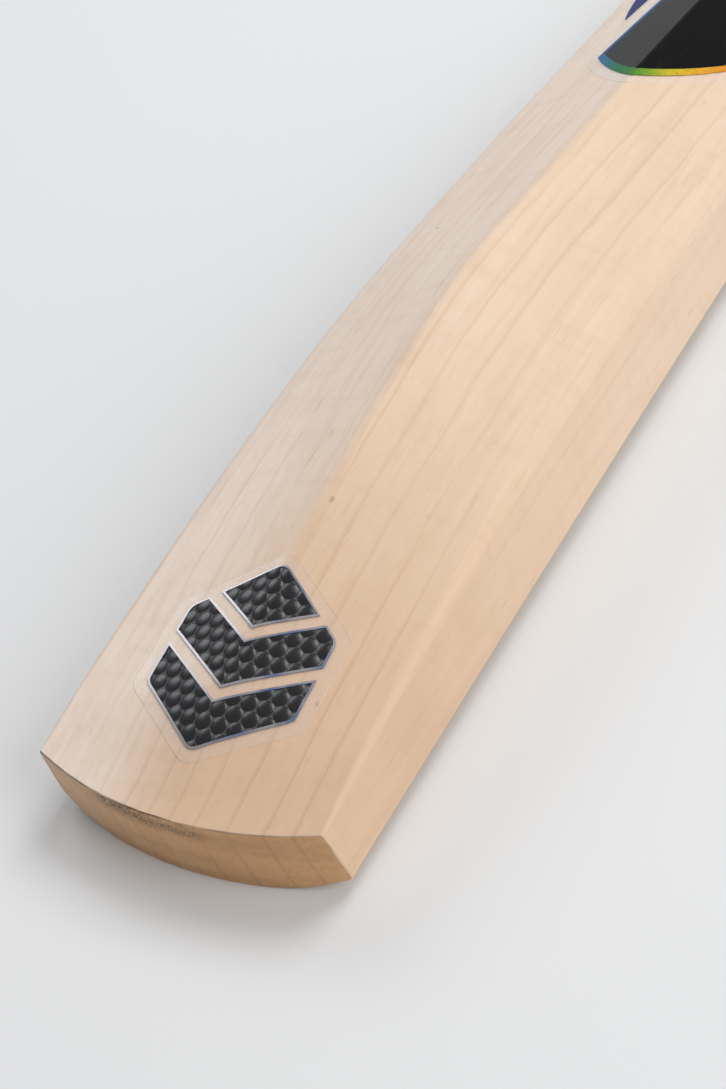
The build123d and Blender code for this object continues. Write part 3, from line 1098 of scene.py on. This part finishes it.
@dataclass
class Badge:
    """The badge by the toe: clear film, embossed dark panels and a foil rim."""

    relief: float = 0.28 * MM
    grid: float = 0.26 * MM
    weld: float = 0.002 * MM
    cut_tolerance: float = 1e-7
    dome_share: float = 0.62  # how much of the relief is each cell's dome; the rest is the groove round it
    groove: Span = (0.15, 0.25)
    top_turn: Span = (0.3, 0.5)  # only faces that look up this much are embossed
    panels: tuple[str, ...] = ("badge_toe_panel", "badge_chevron_panel", "badge_crown_panel")
    film: Finish = ClearFilm()
    black: EmbossedFilm = EmbossedFilm()
    rim: Finish = RimFoil()

    def diced(self, node: str) -> bpy.types.Mesh:
        """A copy of a panel's mesh, cut into a fine grid so that it can take relief."""
        made = bmesh.new()
        made.from_mesh(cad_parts[node].data)
        bmesh.ops.remove_doubles(made, verts=made.verts, dist=self.weld)
        low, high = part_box(node)
        for axis in (0, 1):
            count = int((high[axis] - low[axis]) / self.grid)
            normal = Vector((axis == 0, axis == 1, 0))
            for k in range(1, count):
                spot = normal * (low[axis] + k * self.grid)
                everything = [*made.verts, *made.edges, *made.faces]
                bmesh.ops.bisect_plane(
                    made, geom=everything, plane_co=spot, plane_no=normal, dist=self.cut_tolerance
                )
        bmesh.ops.triangulate(made, faces=made.faces)
        bmesh.ops.recalc_face_normals(made, faces=made.faces)
        mesh = bpy.data.meshes.new(node)
        made.to_mesh(mesh)
        made.free()
        return mesh

    def emboss(self) -> ShapeTree:
        """A tree that sinks a panel's top between oval cells in a honeycomb."""
        cell = {"Cell Width": self.black.cell_width, "Cell Length": self.black.cell_length}
        tree = ShapeTree("honeycomb", {**cell, "Relief": self.relief}, self.black.material())
        x, y, _ = tree.position()
        apart = honeycomb(x, y, tree.size("Cell Width"), tree.size("Cell Length"))
        dome = (apart * (1.0 / CELL_EDGE)).least(1.0) * self.dome_share
        groove = apart.step(*self.groove) * (1.0 - self.dome_share)
        sink = (dome + groove) * tree.size("Relief") * -1.0
        normal = tree.node("GeometryNodeInputNormal").outputs[0]
        split = tree.node("ShaderNodeSeparateXYZ", {0: normal})
        top = tree.field(split.outputs[2]).step(*self.top_turn)
        move = {"Geometry": tree.entry.outputs[0], "Offset": tree.vector(0.0, 0.0, sink * top)}
        tree.close(tree.node("GeometryNodeSetPosition", move).outputs[0])
        return tree

    def build(self) -> None:
        """Dresses the film and rims, and embosses the panels."""
        dress(["badge_film"], self.film)
        dress(["badge_rims"], self.rim)
        tree = self.emboss()
        for node in self.panels:
            piece = tree.bake(f"{node}_embossed", self.diced(node))
            smooth(piece.data, EMBOSS_ANGLE)
            settle(piece, [node])


@dataclass
class Label:
    """The back label and the flashes beside it."""

    film: Finish = ClearFilm()
    black: Finish = BlackFilm("satin_film", (0.005, 0.005, 0.006), (0.012, 0.011, 0.012), 0.22, 0.08)
    hem: Finish = GlitterFoil("hem_foil", Stops.HEM)
    blue: Finish = GlitterFoil("blue_foil", Stops.BLUE, 42 * MM)

    def build(self) -> None:
        """Dresses every film and foil."""
        dress(["label_film", "flash_film_left", "flash_film_right"], self.film)
        dress(["label_panel"], self.black)
        dress(["label_hem"], self.hem)
        dress(["label_side_trims", "flash_panel_left", "flash_panel_right"], self.blue)


# ---- the studio ----


def aimed(azimuth: float, elevation: float, roll: float = 0.0) -> Matrix:
    """How a camera or lamp is turned.

    Args:
        azimuth: degrees round from the toe's side towards the bat's right.
        elevation: degrees above the floor.
        roll: degrees that its right side dips.

    Returns:
        A rotation whose columns are its right, its up and its back.
    """
    a, e, r = (math.radians(v) for v in (azimuth, elevation, roll))
    back = Vector((math.cos(e) * math.sin(a), -math.cos(e) * math.cos(a), math.sin(e)))
    level = Vector((math.cos(a), math.sin(a), 0))
    upright = back.cross(level)
    right = level * math.cos(r) - upright * math.sin(r)
    up = level * math.sin(r) + upright * math.cos(r)
    return Matrix((right, up, back)).transposed()


@dataclass
class Softbox:
    """A large square lamp aimed at the blade."""

    name: str
    azimuth: float
    elevation: float
    side: float
    power: float
    colour: Colour = (1.0, 0.99, 0.98)
    distance: float = 2.4

    def build(self, target: Vector) -> None:
        """Hangs the lamp."""
        lamp = bpy.data.lights.new(self.name, "AREA")
        lamp.shape = "SQUARE"
        lamp.size = self.side
        lamp.energy = self.power
        lamp.color = self.colour
        turn = aimed(self.azimuth, self.elevation)
        holder = put(self.name, lamp)
        holder.matrix_world = Matrix.Translation(target + turn.col[2] * self.distance) @ turn.to_4x4()


@dataclass
class Studio:
    """Camera, floor and lamps."""

    aim: Vector = field(default_factory=lambda: Vector((0.0042, -0.3084, 0.03)))
    distance: float = 0.6609
    azimuth: float = 39.32
    elevation: float = 40.69
    roll: float = 15.7
    lens: float = 68.04
    sensor: float = 36.0
    clip_start: float = 0.01
    floor_side: float = 12.0
    sky: float = 0.32
    sky_colour: Colour = (1.0, 1.0, 1.0)
    lamps: tuple[Softbox, ...] = (
        Softbox("key_softbox", azimuth=161, elevation=56, side=1.2, power=23.4),
        Softbox("side_softbox", azimuth=86, elevation=32, side=1.6, power=31.0),
        Softbox("far_softbox", azimuth=-120, elevation=38, side=1.1, power=11.8, colour=(0.95, 0.97, 1.0)),
    )

    def camera(self) -> None:
        """Sets up the camera."""
        lens = bpy.data.cameras.new("camera")
        lens.lens = self.lens
        lens.sensor_width = self.sensor
        lens.clip_start = self.clip_start
        turn = aimed(self.azimuth, self.elevation, self.roll)
        camera = put("camera", lens)
        camera.matrix_world = Matrix.Translation(self.aim + turn.col[2] * self.distance) @ turn.to_4x4()
        bpy.context.scene.camera = camera

    def floor(self) -> None:
        """Lays the floor at the height the bat rests on."""
        half = self.floor_side / 2
        mesh = bpy.data.meshes.new("floor")
        sheet = [(-half, -half, 0), (half, -half, 0), (half, half, 0), (-half, half, 0)]
        mesh.from_pydata(sheet, [], [(0, 1, 2, 3)])
        mesh.materials.append(StudioPaper().material())
        put("floor", mesh)

    def air(self) -> None:
        """Lights the room evenly."""
        world = bpy.data.worlds.new("room")
        world.use_nodes = True
        background = world.node_tree.nodes["Background"]
        background.inputs["Color"].default_value = (*self.sky_colour, 1.0)
        background.inputs["Strength"].default_value = self.sky
        bpy.context.scene.world = world
        bpy.context.scene.view_settings.view_transform = "Standard"

    def build(self) -> None:
        """Sets up the whole studio."""
        self.camera()
        self.floor()
        self.air()
        for lamp in self.lamps:
            lamp.build(self.aim)


def main() -> None:
    """Builds the studio and the bat."""
    logging.basicConfig(level=logging.INFO, format="%(name)s: %(message)s")
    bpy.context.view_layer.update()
    for part in (Studio(), Blade(), Binding(), Grip(), Badge(), Label()):
        part.build()
        log.info("%s done", type(part).__name__)


if __name__ == "__main__":
    main()
